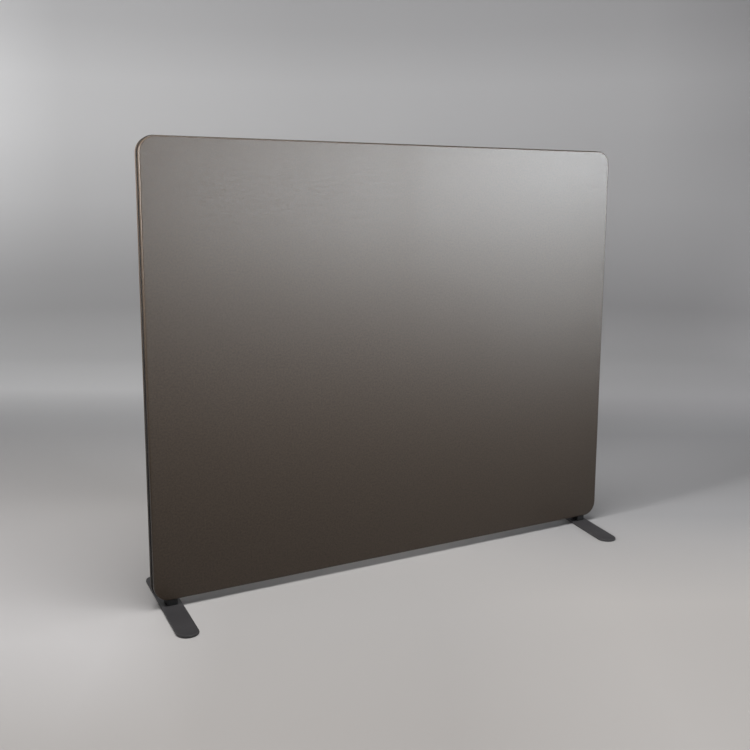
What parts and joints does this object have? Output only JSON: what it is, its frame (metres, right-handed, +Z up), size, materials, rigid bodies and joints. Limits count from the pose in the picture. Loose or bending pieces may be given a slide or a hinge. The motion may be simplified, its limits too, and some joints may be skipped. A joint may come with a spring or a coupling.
{
  "type": "acoustic divider screen",
  "caption": "Free-standing acoustic floor screen: a padded, framed panel with zipped cloth covers on flat feet that swivel on pivot blocks.",
  "frame": {"origin": "on the floor, under the middle of the panel", "axes": "+X along the panel, towards the right as seen from its front; +Y towards its back; +Z up"},
  "size_m": [1.8225, 0.5112, 1.4294],
  "materials": {
    "cover_cloth": "fine woven wool-like cloth with a soft sheen",
    "wadding": "lofty white polyester wadding",
    "core": "dense pressed felt",
    "timber": "planed pine",
    "plywood": "birch plywood",
    "dowel": "fluted beech",
    "screw": "zinc plated",
    "zip": "black woven tape and coil",
    "zip_metal": "black enamel",
    "block": "fine black powder coat",
    "bolt": "zinc plated",
    "washer": "natural nylon",
    "foot_plate": "fine black powder coat",
    "foot_pad": "matt"
  },
  "bodies": {
    "panel": {"front_cover": "cover_cloth", "back_cover": "cover_cloth", "front_wadding": "wadding", "back_wadding": "wadding", "left_core": "core", "right_core": "core", "top_rail": "timber", "bottom_rail": "timber", "left_stile": "timber", "right_stile": "timber", "mid_stile": "timber", "top_left_corner": "plywood", "top_right_corner": "plywood", "bottom_left_corner": "plywood", "bottom_right_corner": "plywood", "corner_dowels": "dowel", "frame_screws": "screw", "front_zip_half": "zip", "back_zip_half": "zip", "zip_stop": "zip_metal", "left_pivot_block": "block", "right_pivot_block": "block", "block_screws": "screw", "left_pivot_bolt": "bolt", "right_pivot_bolt": "bolt", "pivot_nuts": "bolt"},
    "left_foot": {"left_foot_plate": "foot_plate", "left_foot_pad": "foot_pad", "left_friction_washer": "washer"},
    "right_foot": {"right_foot_plate": "foot_plate", "right_foot_pad": "foot_pad", "right_friction_washer": "washer"},
    "slider": {"zip_slider": "zip_metal"},
    "pull": {"zip_pull": "zip_metal"}
  },
  "joints": [
    {"name": "left_foot_swivel", "type": "hinge", "parent": "panel", "child": "left_foot", "pos_m": [-0.842, 0, 0.008], "axis": [0, 0, 1], "range_deg": [-82.5, 97.5]},
    {"name": "right_foot_swivel", "type": "hinge", "parent": "panel", "child": "right_foot", "pos_m": [0.83, 0, 0.008], "axis": [0, 0, 1], "range_deg": [-76.2, 103.8]},
    {"name": "zip_slide", "type": "slide", "parent": "panel", "child": "slider", "axis": [1, 0, 0], "range_m": [-1.61, 0]},
    {"name": "pull_swing", "type": "hinge", "parent": "slider", "child": "pull", "pos_m": [0.7987, 0, 0.0212], "axis": [0, 1, 0], "range_deg": [-85, 85]}
  ]
}
